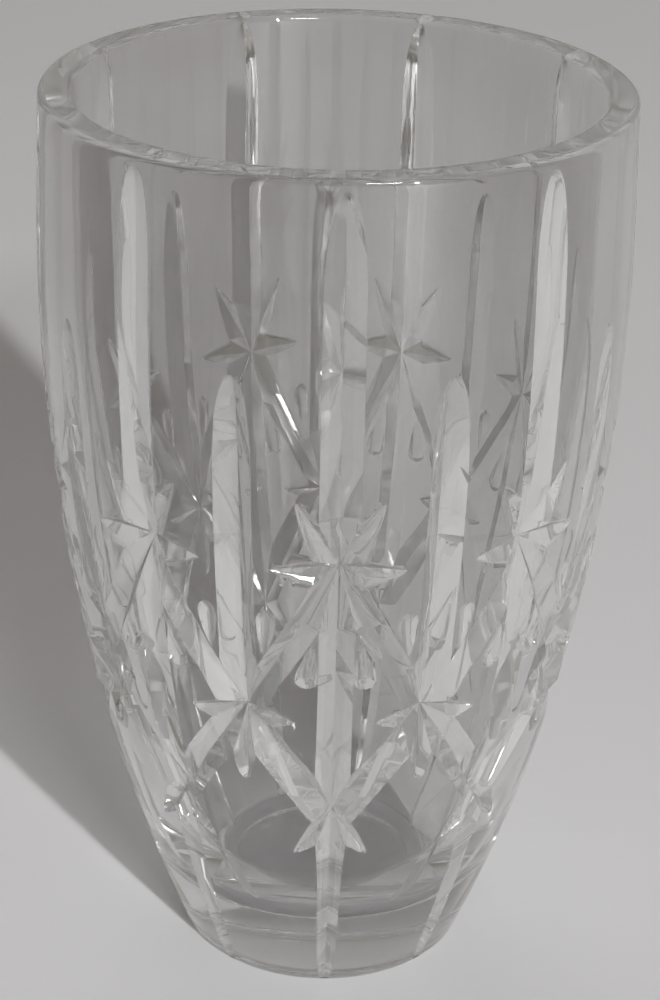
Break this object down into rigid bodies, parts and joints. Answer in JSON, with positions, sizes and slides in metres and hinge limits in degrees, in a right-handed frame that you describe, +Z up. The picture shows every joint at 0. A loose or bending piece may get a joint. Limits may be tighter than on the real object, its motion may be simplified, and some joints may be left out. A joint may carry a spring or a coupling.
{
  "type": "cut crystal vase",
  "caption": "Tall cut crystal vase, wider at the rim than at the foot, with vertical lances, crossed bands and star cuts round its wall.",
  "frame": {"origin": "middle of the foot, on the surface that the vase stands on", "axes": "+Z up along the vase's axis; -Y towards the viewer, through the middle of one main column of cuts"},
  "size_m": [0.1428, 0.1424, 0.229],
  "materials": {
    "crystal": "clear, polished, with cut grooves"
  },
  "bodies": {
    "root": {"glass_vase": "crystal"}
  },
  "joints": []
}
